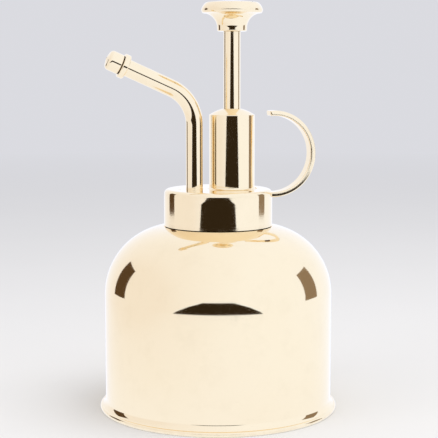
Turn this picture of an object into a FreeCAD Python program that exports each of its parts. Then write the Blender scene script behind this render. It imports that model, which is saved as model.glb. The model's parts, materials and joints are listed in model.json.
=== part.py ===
import FreeCAD, Part
import math
import os
import Sketcher
from FreeCAD import Placement, Rotation, Vector

# Brass hand mister. +Z is up, the reservoir's axis is Z, and the origin is the centre of the
# flat base. The finger ring points along +X and the spout along -X. All sizes in millimetres.

DOC = FreeCAD.newDocument("hand_mister")

DRIVING_SIZES = {
    # reservoir
    "wall_radius": 43.1,
    "wall_height": 44.1,
    "shell_wall": 1.0,
    "base_flare": 2.1,
    "rim_thickness": 1.8,
    "cove_radius": 3.2,
    "plate_thickness": 1.2,
    # neck and its thread
    "neck_bore": 16.0,
    "neck_wall": 1.2,
    "neck_rise": 6.9,
    "neck_flange": 1.3,
    "thread_pitch": 3.0,
    "thread_depth": 0.8,
    "thread_gap": 0.25,
    "tooth_base_share": 0.43,
    "tooth_tip_share": 0.23,
    "gasket_thickness": 1.1,
    # screw cap
    "collar_gap": 0.2,
    "collar_radius": 20.5,
    "collar_wall": 1.0,
    "collar_roof": 1.2,
    "collar_round": 1.6,
    "liner_disc": 2.0,
    "vent_inset": 1.0,
    "vent_radius": 0.525,
    "union_lip": 0.8,
    # pump barrel and cylinder
    "pump_x": 5.4,
    "barrel_radius": 8.6,
    "barrel_wall": 0.8,
    "barrel_height": 27.7,
    "barrel_crown": 2.1,
    "barrel_edge": 0.8,
    "bush_length": 3.2,
    "gland_depth": 2.42,
    "seal_share": 0.28,
    "cylinder_bore": 4.8,
    "cylinder_wall": 1.2,
    "cylinder_rise": 21.0,
    "cylinder_reach": 36.0,
    "cylinder_flange": 2.4,
    "flange_thickness": 1.5,
    "gasket_sheet": 1.0,
    # plunger
    "rod_radius": 3.2,
    "stroke": 26.0,
    "knob_gap": 2.8,
    "knob_radius": 11.6,
    "knob_height": 11.4,
    "knob_neck": 5.6,
    "knob_lip": 4.6,
    "knob_sweep": 5.6,
    "knob_edge": 0.5,
    "knob_stud_share": 0.7,
    "lip_waist_share": 0.22,
    "crown_share": 0.84,
    "crown_drop_share": 0.14,
    "piston_length": 7.0,
    "piston_ring_share": 0.28,
    "buffer_thickness": 1.0,
    "nut_height": 2.4,
    "follower_height": 1.2,
    "spring_wire": 0.8,
    "spring_turns": 14.0,
    # valves
    "inlet_ball": 2.0,
    "outlet_ball": 1.75,
    "ball_lift": 1.2,
    "inlet_throat_share": 0.7,
    "outlet_throat_share": 0.72,
    "inlet_chamber_gap": 0.4,
    "outlet_chamber_gap": 0.45,
    "outlet_seat_rise": 0.5,
    "outlet_room": 3.6,
    "cage_thickness": 1.2,
    "cage_hole": 0.72,
    "cage_inset": 0.3,
    "block_wall": 1.6,
    "socket_depth": 6.0,
    "delivery_socket": 4.2,
    "foot_ring_section": 0.288,
    "port_radius": 1.0,
    "plug_head": 0.8,
    "plug_head_radius": 1.9,
    "outlet_spring_wire": 0.4,
    "outlet_spring_turns": 5.0,
    "outlet_spring_inset": 0.15,
    # tubes
    "spout_x": 9.2,
    "spout_radius": 3.2,
    "spout_wall": 0.9,
    "spout_rise": 24.3,
    "spout_bend": 15.0,
    "spout_slope": 24.2,
    "spout_length": 20.2,
    "delivery_radius": 2.5,
    "delivery_wall": 1.0,
    "dip_radius": 2.5,
    "dip_wall": 0.9,
    "foot_gap": 2.2,
    "strainer_lip": 0.6,
    "slot_share": 0.9,
    # nozzle
    "nozzle_flange": 4.6,
    "nozzle_ring": 2.2,
    "nozzle_seat": 1.76,
    "nozzle_edge": 0.4,
    "nozzle_thread": 3.0,
    "spigot_length": 3.8,
    "insert_radius": 1.95,
    "insert_core": 1.07,
    "insert_depth": 2.28,
    "insert_step": 0.6,
    "cap_gap": 0.3,
    "cap_round": 1.575,
    "cap_radius": 3.75,
    "cap_length": 5.6,
    "orifice": 0.35,
    # finger ring
    "ring_radius": 16.5,
    "ring_strip": 2.0,
    "ring_width": 5.5,
    "ring_overhang": 1.0,
    "ring_drop": 3.6,
    "ring_start": 97.0,
    "ring_sweep": 218.0,
    # fits
    "running": 0.05,
    "rod_gap": 0.15,
    "push_fit": 0.02,
    "seat_gap": 0.05,
    "bore_clearance": 0.1,
    "spring_clearance": 0.4,
    "nut_clearance": 0.3,
    # how far a cutter runs past the face it cuts
    "overrun": 1.0,
}

# a ball on a 45 degree seat has its centre this many radii above the cone's point
SEAT_SLOPE = math.sqrt(2.0)
CAGE_PORTS = 5
STRAINER_SLOTS = 4
# the turn about Y that lays +Z along -X, towards the spout
TOWARDS_SPOUT = -90.0

SHEET = DOC.addObject("Spreadsheet::Sheet", "Sizes")
for row, (alias, number) in enumerate(DRIVING_SIZES.items(), start=1):
    SHEET.set(f"A{row}", alias)
    SHEET.set(f"B{row}", str(number))
    SHEET.setAlias(f"B{row}", alias)
DOC.recompute()


class Size:
    """A length that knows both its value and its spreadsheet formula."""

    def __init__(self, formula, value):
        self.formula = formula
        self.value = value

    @staticmethod
    def of(other):
        if isinstance(other, Size):
            return other
        return Size(repr(float(other)), float(other))

    def __add__(self, other):
        other = Size.of(other)
        return Size(f"({self.formula} + {other.formula})", self.value + other.value)

    def __radd__(self, other):
        return Size.of(other) + self

    def __sub__(self, other):
        other = Size.of(other)
        return Size(f"({self.formula} - {other.formula})", self.value - other.value)

    def __rsub__(self, other):
        return Size.of(other) - self

    def __mul__(self, other):
        other = Size.of(other)
        return Size(f"({self.formula} * {other.formula})", self.value * other.value)

    def __rmul__(self, other):
        return Size.of(other) * self

    def __truediv__(self, other):
        other = Size.of(other)
        return Size(f"({self.formula} / {other.formula})", self.value / other.value)

    def __neg__(self):
        return Size(f"(-1 * {self.formula})", -self.value)


def root(size):
    """Square root of a size squared, still a length."""
    return Size(f"sqrt({size.formula})", math.sqrt(size.value))


def ball_radius(outer, inner, rise):
    """Radius of a sphere centred on the axis that climbs by rise from radius outer to inner."""
    outer = Size.of(outer)
    inner = Size.of(inner)
    below = (outer * outer - inner * inner - rise * rise) / (2 * rise)
    return root(outer * outer + below * below)


def cosine(angle):
    return Size(f"cos({angle.formula} * 1deg)", math.cos(math.radians(angle.value)))


def sine(angle):
    return Size(f"sin({angle.formula} * 1deg)", math.sin(math.radians(angle.value)))


class Sizes:
    """Reads the sheet's cells by alias: sizes.wall_radius."""

    def __getattr__(self, alias):
        return Size(f"Sizes.{alias}", float(SHEET.get(alias)))


sizes = Sizes()


def bind(thing, **properties):
    """Binds each named property of a document object to a size."""
    for name, size in properties.items():
        size = Size.of(size)
        thing.setExpression(name, size.formula)
    return thing


def place(thing, x=0.0, z=0.0, tilt=None):
    """Puts an object at (x, 0, z), turned about Y by tilt degrees first."""
    if tilt is not None:
        thing.Placement = Placement(Vector(0, 0, 0), Rotation(Vector(0, 1, 0), Size.of(tilt).value))
        thing.setExpression("Placement.Rotation.Angle", Size.of(tilt).formula)
    thing.setExpression(".Placement.Base.x", Size.of(x).formula)
    thing.setExpression(".Placement.Base.z", Size.of(z).formula)
    return thing


def origin_plane(body, role):
    for feature in body.Origin.OriginFeatures:
        if feature.Role == role:
            return feature
    raise ValueError(role)


def arc_to(radius, left):
    """An arc in an outline: its radius, and whether it turns left on the way to the next point."""
    return ("arc", Size.of(radius), left)


def arc_geometry(start, end, radius, left):
    """The arc from start to end, always drawn anticlockwise, and its start point's index."""
    chord = end - start
    half = chord.Length / 2
    rise = math.sqrt(max(radius * radius - half * half, 0.0))
    normal = Vector(-chord.y, chord.x, 0) / chord.Length
    centre = (start + end) / 2 + normal * (rise if left else -rise)
    first, second = (start, end) if left else (end, start)
    first_angle = math.atan2(first.y - centre.y, first.x - centre.x)
    second_angle = math.atan2(second.y - centre.y, second.x - centre.x)
    if second_angle < first_angle:
        second_angle += 2 * math.pi
    circle = Part.Circle(centre, Vector(0, 0, 1), radius)
    return Part.ArcOfCircle(circle, first_angle, second_angle), (1 if left else 2)


def pin_point(sketch, edge, point, across, up):
    """Holds one point of an edge at its two coordinates."""
    for axis, kind, size in ((-2, "DistanceX", across), (-1, "DistanceY", up)):
        if abs(size.value) < 1e-9:
            sketch.addConstraint(Sketcher.Constraint("PointOnObject", edge, point, axis))
            continue
        index = sketch.addConstraint(Sketcher.Constraint(kind, -1, 1, edge, point, size.value))
        sketch.setExpression(f"Constraints[{index}]", size.formula)


def draw(body, name, role, outline, closed=True):
    """A sketch on one of the body's origin planes, from points and arcs, fully dimensioned."""
    sketch = body.newObject("Sketcher::SketchObject", name)
    sketch.AttachmentSupport = [(origin_plane(body, role), "")]
    sketch.MapMode = "FlatFace"
    points = [(Size.of(item[0]), Size.of(item[1])) for item in outline if item[0] != "arc"]
    arcs = {}
    count = 0
    for item in outline:
        if item[0] == "arc":
            arcs[count - 1] = item
        else:
            count += 1
    edge_count = len(points) if closed else len(points) - 1
    for edge in range(edge_count):
        across, up = points[edge]
        next_across, next_up = points[(edge + 1) % len(points)]
        start = Vector(across.value, up.value, 0)
        end = Vector(next_across.value, next_up.value, 0)
        if edge in arcs:
            _, radius, left = arcs[edge]
            arc, start_point = arc_geometry(start, end, radius.value, left)
            sketch.addGeometry(arc, False)
            pin_point(sketch, edge, start_point, across, up)
            pin_point(sketch, edge, 3 - start_point, next_across, next_up)
            index = sketch.addConstraint(Sketcher.Constraint("Radius", edge, radius.value))
            sketch.setExpression(f"Constraints[{index}]", radius.formula)
        else:
            sketch.addGeometry(Part.LineSegment(start, end), False)
            pin_point(sketch, edge, 1, across, up)
            pin_point(sketch, edge, 2, next_across, next_up)
    return sketch


def new_body(label):
    body = DOC.addObject("PartDesign::Body", label)
    body.Label = label
    return body


def turned(label, outline, x=0.0, z=0.0, tilt=None):
    """A body of revolution about its own Z, from an outline of (radius, height) points."""
    body = new_body(label)
    sketch = draw(body, label + "_profile", "XZ_Plane", outline)
    spin = body.newObject("PartDesign::Revolution", label + "_turned")
    spin.Profile = sketch
    spin.ReferenceAxis = (sketch, ["V_Axis"])
    spin.Angle = 360.0
    sketch.Visibility = False
    place(body, x, z, tilt)
    return body


def tube_outline(inner, outer, low, high):
    return [(inner, low), (outer, low), (outer, high), (inner, high)]


def round_hole_sketch(body, name, holes):
    """Circles on the body's XY plane, each given as (x, radius)."""
    sketch = body.newObject("Sketcher::SketchObject", name)
    sketch.AttachmentSupport = [(origin_plane(body, "XY_Plane"), "")]
    sketch.MapMode = "FlatFace"
    for edge, (across, radius) in enumerate(holes):
        across = Size.of(across)
        circle = Part.Circle(Vector(across.value, 0, 0), Vector(0, 0, 1), radius.value)
        sketch.addGeometry(circle, False)
        pin_point(sketch, edge, 3, across, Size.of(0.0))
        index = sketch.addConstraint(Sketcher.Constraint("Radius", edge, radius.value))
        sketch.setExpression(f"Constraints[{index}]", radius.formula)
    return sketch


def bored_through(body, name, holes):
    """Cuts round holes along Z right through a body."""
    sketch = round_hole_sketch(body, name + "_circles", holes)
    pocket = body.newObject("PartDesign::Pocket", name)
    pocket.Profile = sketch
    pocket.Type = 1
    pocket.Midplane = True
    sketch.Visibility = False
    return pocket


def coil(label, mean_radius, wire_radius, pitch, height, x=0.0, z=0.0):
    """A round-wire compression spring about its own Z."""
    body = new_body(label)
    sketch = body.newObject("Sketcher::SketchObject", label + "_wire")
    sketch.AttachmentSupport = [(origin_plane(body, "XZ_Plane"), "")]
    sketch.MapMode = "FlatFace"
    circle = Part.Circle(Vector(mean_radius.value, 0, 0), Vector(0, 0, 1), wire_radius.value)
    sketch.addGeometry(circle, False)
    pin_point(sketch, 0, 3, mean_radius, Size.of(0.0))
    index = sketch.addConstraint(Sketcher.Constraint("Radius", 0, wire_radius.value))
    sketch.setExpression(f"Constraints[{index}]", wire_radius.formula)
    add_helix(body, label + "_wound", sketch, pitch, height)
    place(body, x, z)
    return body


def add_helix(body, name, sketch, pitch, height):
    helix = body.newObject("PartDesign::AdditiveHelix", name)
    helix.Profile = sketch
    helix.ReferenceAxis = (sketch, ["V_Axis"])
    helix.Mode = "pitch-height-angle"
    bind(helix, Pitch=pitch, Height=height)
    helix.Angle = 0.0
    helix.LeftHanded = False
    helix.Reversed = False
    sketch.Visibility = False
    return helix


def rod_primitive(name, radius, height, x=0.0, z=0.0, tilt=None):
    cylinder = DOC.addObject("Part::Cylinder", name)
    bind(cylinder, Radius=radius, Height=height)
    return place(cylinder, x, z, tilt)


def joined(name, solids):
    fuse = DOC.addObject("Part::MultiFuse", name)
    fuse.Shapes = solids
    return fuse


def cut(label, base, tools):
    result = DOC.addObject("Part::Cut", label)
    result.Label = label
    result.Base = base
    result.Tool = tools[0] if len(tools) == 1 else joined(label + "_tools", tools)
    return result


def o_ring(label, ring_radius, section, x, z, heights=(0.0,), tilt=None):
    """One rubber ring, or several identical ones as one group of solids."""
    rings = []
    for index, height in enumerate(heights):
        torus = DOC.addObject("Part::Torus", f"{label}_{index}")
        bind(torus, Radius1=ring_radius, Radius2=section)
        place(torus, x, Size.of(z) + height, tilt)
        rings.append(torus)
    if len(rings) == 1:
        rings[0].Label = label
        return rings[0]
    group = DOC.addObject("Part::Compound", label)
    group.Label = label
    group.Links = rings
    return group


s = sizes

# ---------------------------------------------------------------- heights that everything shares
shell_top = s.wall_height + s.wall_radius - (s.neck_bore + s.neck_wall + s.push_fit)
neck_core = s.neck_bore + s.neck_wall
neck_hole = neck_core + s.push_fit
neck_top = shell_top + s.neck_rise
dome_radius = s.wall_radius - neck_hole
disc_under = neck_top + s.gasket_thickness + 2 * s.seat_gap
disc_top = disc_under + s.liner_disc
flange_top = disc_top + s.flange_thickness
roof_under = flange_top + s.gasket_sheet
collar_top = roof_under + s.collar_roof
collar_bottom = shell_top + s.collar_gap

# ---------------------------------------------------------------- reservoir
inner_radius = s.wall_radius - s.shell_wall
rim_radius = s.wall_radius + s.base_flare
rim_round = s.rim_thickness / 2
cove_start = rim_radius - rim_round
cove_run = s.cove_radius - (cove_start - s.wall_radius)
cove_top = s.rim_thickness + root(s.cove_radius * s.cove_radius - cove_run * cove_run)
turned("reservoir_shell", [
    (inner_radius, 0.0),
    (cove_start, 0.0),
    arc_to(rim_round, True),
    (rim_radius, rim_round),
    arc_to(rim_round, True),
    (cove_start, s.rim_thickness),
    arc_to(s.cove_radius, False),
    (s.wall_radius, cove_top),
    (s.wall_radius, s.wall_height),
    arc_to(dome_radius, True),
    (neck_hole, shell_top),
    (neck_hole, shell_top - s.shell_wall),
    arc_to(dome_radius - s.shell_wall, False),
    (inner_radius, s.wall_height),
])

plate_radius = inner_radius - s.push_fit
turned("base_plate", [
    (0.0, 0.0),
    (plate_radius, 0.0),
    (plate_radius, s.plate_thickness),
    (0.0, s.plate_thickness),
])

flange_face = shell_top - s.shell_wall - s.seat_gap * 2
neck = turned("neck_ring", [
    (s.neck_bore, flange_face - s.shell_wall),
    (neck_core + s.neck_flange, flange_face - s.shell_wall),
    (neck_core + s.neck_flange, flange_face),
    (neck_core, flange_face),
    (neck_core, neck_top),
    (s.neck_bore, neck_top),
])
tooth_base = s.thread_pitch * s.tooth_base_share
tooth_tip = s.thread_pitch * s.tooth_tip_share
tooth_root = neck_core - s.bore_clearance
neck_thread_low = shell_top + s.collar_gap + tooth_base
neck_thread_run = neck_top - neck_thread_low - tooth_base
neck_crest = neck_core + s.thread_depth
neck_tooth = draw(neck, "neck_tooth", "XZ_Plane", [
    (tooth_root, neck_thread_low - tooth_base / 2),
    (neck_crest, neck_thread_low - tooth_tip / 2),
    (neck_crest, neck_thread_low + tooth_tip / 2),
    (tooth_root, neck_thread_low + tooth_base / 2),
])
add_helix(neck, "neck_thread", neck_tooth, s.thread_pitch, neck_thread_run)

turned("neck_gasket", tube_outline(
    s.neck_bore - s.bore_clearance,
    neck_crest + s.bore_clearance,
    neck_top + s.seat_gap,
    disc_under - s.seat_gap,
))

# ---------------------------------------------------------------- screw cap
skirt_inner = s.collar_radius - s.collar_wall
cylinder_outer = s.cylinder_bore + s.cylinder_wall
collar = turned("cap_collar", [
    (skirt_inner, collar_bottom),
    (s.collar_radius, collar_bottom),
    (s.collar_radius, collar_top - s.collar_round),
    arc_to(s.collar_round, True),
    (s.collar_radius - s.collar_round, collar_top),
    (0.0, collar_top),
    (0.0, roof_under),
    (skirt_inner, roof_under),
])
roof_pump_hole = cylinder_outer + s.bore_clearance
roof_spout_hole = s.spout_radius + s.push_fit
vent_x = s.neck_bore - s.vent_inset
bored_through(collar, "roof_holes", [
    (s.pump_x, roof_pump_hole),
    (-s.spout_x, roof_spout_hole),
    (-vent_x, s.vent_radius),
])

thread_bore = neck_crest + s.thread_gap
liner_outer = skirt_inner - s.push_fit
liner_low = collar_bottom + s.collar_wall
union_radius = s.spout_radius + s.gasket_sheet
liner = turned("cap_liner", [
    (thread_bore, liner_low),
    (liner_outer, liner_low),
    (liner_outer, disc_top),
    (0.0, disc_top),
    (0.0, disc_under),
    (thread_bore, disc_under),
])
liner_crest = neck_core + s.thread_gap
liner_thread_low = liner_low + tooth_base / 2 + s.push_fit
liner_phase = neck_thread_low + s.thread_pitch / 2 - liner_thread_low
liner_thread_run = neck_top - liner_thread_low - tooth_base
liner_tooth = draw(liner, "liner_tooth", "XZ_Plane", [
    (thread_bore + s.bore_clearance, liner_thread_low + liner_phase - tooth_base / 2),
    (thread_bore + s.bore_clearance, liner_thread_low + liner_phase + tooth_base / 2),
    (liner_crest, liner_thread_low + liner_phase + tooth_tip / 2),
    (liner_crest, liner_thread_low + liner_phase - tooth_tip / 2),
])
add_helix(liner, "liner_thread", liner_tooth, s.thread_pitch, liner_thread_run - liner_phase)
bored_through(liner, "disc_holes", [
    (s.pump_x, cylinder_outer + s.bore_clearance),
    (-s.spout_x, union_radius + s.bore_clearance),
    (-vent_x, s.vent_radius),
])

# ---------------------------------------------------------------- pump barrel and its bush
barrel_inner = s.barrel_radius - s.barrel_wall
rod_hole = s.rod_radius + s.rod_gap
shoulder = collar_top + s.barrel_height
crown_edge = s.barrel_radius - s.barrel_edge / 2
crown_radius = ball_radius(crown_edge, rod_hole, s.barrel_crown)
crown_top = shoulder + s.barrel_edge / 2 + s.barrel_crown
turned("pump_barrel", [
    (barrel_inner, collar_top),
    (s.barrel_radius + s.barrel_edge, collar_top),
    arc_to(s.barrel_edge, False),
    (s.barrel_radius, collar_top + s.barrel_edge),
    (s.barrel_radius, shoulder),
    (crown_edge, shoulder + s.barrel_edge / 2),
    arc_to(crown_radius, True),
    (rod_hole, crown_top),
    (rod_hole, shoulder),
    (barrel_inner, shoulder - s.barrel_wall),
], x=s.pump_x)

bush_top = shoulder - s.barrel_wall - s.seat_gap
turned("guide_bush", tube_outline(
    s.rod_radius + s.running,
    barrel_inner - s.push_fit,
    bush_top - s.bush_length,
    bush_top,
), x=s.pump_x)

# ---------------------------------------------------------------- pump cylinder
cylinder_top = collar_top + s.cylinder_rise
cylinder_foot = disc_top - s.cylinder_reach
flange_radius = cylinder_outer + s.cylinder_flange
turned("pump_cylinder", [
    (s.cylinder_bore, cylinder_foot),
    (cylinder_outer, cylinder_foot),
    (cylinder_outer, disc_top),
    (flange_radius, disc_top),
    (flange_radius, flange_top),
    (cylinder_outer, flange_top),
    (cylinder_outer, cylinder_top),
    (s.cylinder_bore, cylinder_top),
], x=s.pump_x)

turned("cylinder_gasket", tube_outline(
    cylinder_outer + s.push_fit,
    flange_radius,
    flange_top,
    roof_under,
), x=s.pump_x)

seal_section = (s.cylinder_bore - s.rod_radius) * s.seal_share
seal_centre = s.rod_radius + s.running + seal_section
groove_radius = seal_centre + seal_section + s.push_fit
gland_low = cylinder_top - s.gland_depth
seal_height = cylinder_top - s.gland_depth / 2
groove_half = seal_section + s.push_fit
gland_radius = s.cylinder_bore - s.push_fit
gland_bore = s.rod_radius + s.running
turned("gland_plug", [
    (gland_bore, gland_low),
    (gland_radius, gland_low),
    (gland_radius, cylinder_top),
    (cylinder_outer, cylinder_top),
    (cylinder_outer, cylinder_top + s.collar_roof),
    (gland_bore, cylinder_top + s.collar_roof),
    (gland_bore, seal_height + groove_half),
    (groove_radius, seal_height + groove_half),
    (groove_radius, seal_height - groove_half),
    (gland_bore, seal_height - groove_half),
], x=s.pump_x)
o_ring("rod_seal", seal_centre, seal_section, s.pump_x, seal_height)

# ---------------------------------------------------------------- plunger, drawn at the top of its stroke
buffer_top = gland_low - s.seat_gap
piston_top = buffer_top - s.buffer_thickness - s.push_fit
piston_low = piston_top - s.piston_length
stud_radius = s.rod_radius / 2
stud_low = piston_low - s.nut_height - s.buffer_thickness / 2
knob_low = crown_top + s.knob_gap + s.stroke
knob_top = knob_low + s.knob_height
knob_stud = s.rod_radius * s.knob_stud_share
knob_stud_top = knob_low + s.knob_height / 2
turned("plunger_rod", [
    (0.0, stud_low),
    (stud_radius, stud_low),
    (stud_radius, piston_top),
    (s.rod_radius, piston_top),
    (s.rod_radius, knob_low),
    (knob_stud, knob_low),
    (knob_stud, knob_stud_top),
    (0.0, knob_stud_top),
], x=s.pump_x)

knob_bore = knob_stud + s.push_fit
lip_low = knob_low + s.knob_sweep + (s.knob_height - s.knob_sweep - s.knob_lip)
lip_inner = s.knob_neck + s.knob_sweep
lip_waist = lip_low + s.knob_lip * s.lip_waist_share
crown_start = s.knob_radius * s.crown_share
crown_drop = s.knob_lip * s.crown_drop_share
crown_side = knob_top - crown_drop
turned("thumb_knob", [
    (knob_bore, knob_low),
    (s.knob_neck - s.knob_edge, knob_low),
    arc_to(s.knob_edge, True),
    (s.knob_neck, knob_low + s.knob_edge),
    (s.knob_neck, lip_low - s.knob_sweep),
    arc_to(s.knob_sweep, False),
    (lip_inner, lip_low),
    (s.knob_radius, lip_waist),
    arc_to(s.knob_lip, True),
    (crown_start, crown_side),
    arc_to(ball_radius(crown_start, 0.0, crown_drop), True),
    (0.0, knob_top),
    (0.0, knob_stud_top + s.push_fit),
    (knob_bore, knob_stud_top + s.push_fit),
], x=s.pump_x)

piston_radius = s.cylinder_bore - s.bore_clearance
ring_section = seal_section
ring_centre = s.cylinder_bore - s.push_fit - ring_section
ring_groove = ring_centre - ring_section - s.push_fit
ring_half = ring_section + s.push_fit
low_ring = piston_low + s.piston_length * s.piston_ring_share
high_ring = piston_top - s.piston_length * s.piston_ring_share
turned("piston", [
    (stud_radius + s.push_fit, piston_low),
    (piston_radius, piston_low),
    (piston_radius, low_ring - ring_half),
    (ring_groove, low_ring - ring_half),
    (ring_groove, low_ring + ring_half),
    (piston_radius, low_ring + ring_half),
    (piston_radius, high_ring - ring_half),
    (ring_groove, high_ring - ring_half),
    (ring_groove, high_ring + ring_half),
    (piston_radius, high_ring + ring_half),
    (piston_radius, piston_top),
    (stud_radius + s.push_fit, piston_top),
], x=s.pump_x)
o_ring("piston_rings", ring_centre, ring_section, s.pump_x, 0.0, heights=(low_ring, high_ring))

turned("buffer_washer", tube_outline(
    s.rod_radius + s.push_fit,
    piston_radius,
    piston_top + s.push_fit,
    buffer_top,
), x=s.pump_x)

spring_radius = s.spring_wire / 2
spring_mean = s.cylinder_bore - spring_radius - s.spring_clearance
follower_bore = spring_mean - spring_radius - s.bore_clearance * 2
nut_radius = follower_bore - s.nut_clearance
nut_blank = DOC.addObject("Part::Prism", "nut_blank")
nut_blank.Polygon = 6
bind(nut_blank, Circumradius=nut_radius, Height=s.nut_height - s.seat_gap)
place(nut_blank, s.pump_x, piston_low - s.nut_height)
nut_hole = rod_primitive(
    "nut_hole",
    stud_radius + s.push_fit,
    s.nut_height * 2,
    s.pump_x,
    piston_low - s.nut_height - s.nut_height / 2,
)
cut("piston_nut", nut_blank, [nut_hole])

follower_top = piston_low - s.bore_clearance
follower_low = follower_top - s.follower_height
turned("spring_follower", tube_outline(
    follower_bore,
    s.cylinder_bore - s.bore_clearance * 2,
    follower_low,
    follower_top,
), x=s.pump_x)

# ---------------------------------------------------------------- valve block below the cylinder
cage_low = cylinder_foot - s.cage_thickness
spring_foot = cylinder_foot + s.seat_gap
spring_length = follower_low - s.seat_gap - spring_foot
coil(
    "return_spring",
    spring_mean,
    spring_radius,
    (spring_length - s.spring_wire) / s.spring_turns,
    spring_length - s.spring_wire,
    s.pump_x,
    spring_foot + spring_radius,
)

block_radius = cylinder_outer + s.block_wall
throat_radius = s.inlet_ball * s.inlet_throat_share
chamber_radius = s.inlet_ball + s.inlet_chamber_gap
inlet_top = cage_low - s.inlet_chamber_gap
inlet_centre = inlet_top - s.ball_lift - s.inlet_ball
seat_line = s.inlet_ball * SEAT_SLOPE
seat_low = inlet_centre - s.seat_gap - seat_line + throat_radius
seat_high = seat_low + (chamber_radius - throat_radius)
dip_outer = s.dip_radius + s.push_fit
dip_stop = seat_low - s.socket_depth / 3
block_low = dip_stop - s.socket_depth
block_top = cylinder_foot + s.socket_depth
foot_height = cylinder_foot + s.socket_depth / 2

outlet_radius = s.delivery_radius + s.block_wall
port_height = inlet_centre + s.inlet_ball
outlet_throat = s.outlet_ball * s.outlet_throat_share
outlet_chamber = s.outlet_ball + s.outlet_chamber_gap
outlet_seat = port_height + s.port_radius + s.outlet_seat_rise
outlet_seat_high = outlet_seat + (outlet_chamber - outlet_throat)
outlet_centre = outlet_seat - outlet_throat + s.outlet_ball * SEAT_SLOPE + s.seat_gap
delivery_low = outlet_centre + s.outlet_ball + s.outlet_room
outlet_block_top = delivery_low + s.delivery_socket
outlet_block_low = port_height - s.port_radius - s.block_wall


def revolved_tool(name, outline, x):
    """A turned cutter or blank that is used once in a boolean."""
    tool = turned(name, outline, x=x)
    tool.Label = name
    return tool


inlet_blank = rod_primitive("inlet_blank", block_radius, block_top - block_low, s.pump_x, block_low)
outlet_blank = rod_primitive(
    "outlet_blank",
    outlet_radius,
    outlet_block_top - outlet_block_low,
    -s.spout_x,
    outlet_block_low,
)
bridge = DOC.addObject("Part::Box", "bridge")
bridge_half = s.port_radius + s.block_wall
bind(
    bridge,
    Length=s.pump_x + s.spout_x,
    Width=2 * bridge_half,
    Height=block_top - outlet_block_low,
)
place(bridge, -s.spout_x, outlet_block_low)
bridge.setExpression(".Placement.Base.y", (-bridge_half).formula)
block_blank = joined("block_blank", [inlet_blank, outlet_blank, bridge])

groove_out = cylinder_outer + 2 * s.foot_ring_section + s.push_fit * 2
inlet_cutter = revolved_tool("inlet_cutter", [
    (0.0, block_low - s.overrun),
    (dip_outer, block_low - s.overrun),
    (dip_outer, dip_stop),
    (throat_radius, dip_stop),
    (throat_radius, seat_low),
    (chamber_radius, seat_high),
    (chamber_radius, cage_low),
    (cylinder_outer + s.push_fit, cage_low),
    (cylinder_outer + s.push_fit, foot_height - s.foot_ring_section - s.push_fit),
    (groove_out, foot_height - s.foot_ring_section - s.push_fit),
    (groove_out, foot_height + s.foot_ring_section + s.push_fit),
    (cylinder_outer + s.push_fit, foot_height + s.foot_ring_section + s.push_fit),
    (cylinder_outer + s.push_fit, block_top + s.overrun),
    (0.0, block_top + s.overrun),
], s.pump_x)
outlet_cutter = revolved_tool("outlet_cutter", [
    (0.0, port_height),
    (outlet_throat, port_height),
    (outlet_throat, outlet_seat),
    (outlet_chamber, outlet_seat_high),
    (outlet_chamber, delivery_low),
    (s.delivery_radius + s.push_fit, delivery_low),
    (s.delivery_radius + s.push_fit, outlet_block_top + s.overrun),
    (0.0, outlet_block_top + s.overrun),
], -s.spout_x)
port_run = s.pump_x + s.spout_x + outlet_radius + s.overrun
port_cutter = rod_primitive(
    "port_cutter",
    s.port_radius,
    port_run,
    s.pump_x,
    port_height,
    tilt=TOWARDS_SPOUT,
)
cut("valve_block", block_blank, [inlet_cutter, outlet_cutter, port_cutter])

turned("passage_plug", [
    (0.0, outlet_throat + s.bore_clearance),
    (s.port_radius - s.push_fit, outlet_throat + s.bore_clearance),
    (s.port_radius - s.push_fit, outlet_radius + s.push_fit * 2),
    (s.plug_head_radius, outlet_radius + s.push_fit * 2),
    (s.plug_head_radius, outlet_radius + s.plug_head),
    (0.0, outlet_radius + s.plug_head),
], x=-s.spout_x, z=port_height, tilt=TOWARDS_SPOUT)

o_ring("foot_ring", cylinder_outer + s.foot_ring_section + s.push_fit, s.foot_ring_section, s.pump_x, foot_height)

cage = turned("ball_cage", [
    (0.0, cage_low),
    (cylinder_outer - s.push_fit, cage_low),
    (cylinder_outer - s.push_fit, cylinder_foot - s.push_fit),
    (0.0, cylinder_foot - s.push_fit),
], x=s.pump_x)
cage_pitch = throat_radius + s.cage_inset
cage_ports = bored_through(cage, "cage_port", [(cage_pitch, s.cage_hole)])
cage_pattern = cage.newObject("PartDesign::PolarPattern", "cage_ports")
cage_pattern.Originals = [cage_ports]
cage_pattern.Axis = (origin_plane(cage, "Z_Axis"), [""])
cage_pattern.Angle = 360.0
cage_pattern.Occurrences = CAGE_PORTS
cage.Tip = cage_pattern

inlet_ball = DOC.addObject("Part::Sphere", "inlet_ball")
inlet_ball.Label = "inlet_ball"
bind(inlet_ball, Radius=s.inlet_ball)
place(inlet_ball, s.pump_x, inlet_centre)

outlet_ball = DOC.addObject("Part::Sphere", "outlet_ball")
outlet_ball.Label = "outlet_ball"
bind(outlet_ball, Radius=s.outlet_ball)
place(outlet_ball, -s.spout_x, outlet_centre)

outlet_wire = s.outlet_spring_wire / 2
outlet_mean = s.outlet_ball - s.outlet_spring_inset
reach = s.outlet_ball + outlet_wire + s.seat_gap
outlet_spring_low = outlet_centre + root(reach * reach - outlet_mean * outlet_mean)
outlet_spring_run = delivery_low - s.seat_gap - outlet_wire - outlet_spring_low
coil(
    "outlet_spring",
    outlet_mean,
    outlet_wire,
    outlet_spring_run / s.outlet_spring_turns,
    outlet_spring_run,
    -s.spout_x,
    outlet_spring_low,
)

# ---------------------------------------------------------------- tubes inside the reservoir
delivery_top = disc_under + s.liner_disc / 2
turned("delivery_tube", tube_outline(
    s.delivery_radius - s.delivery_wall,
    s.delivery_radius,
    delivery_low,
    delivery_top,
), x=-s.spout_x)

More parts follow.
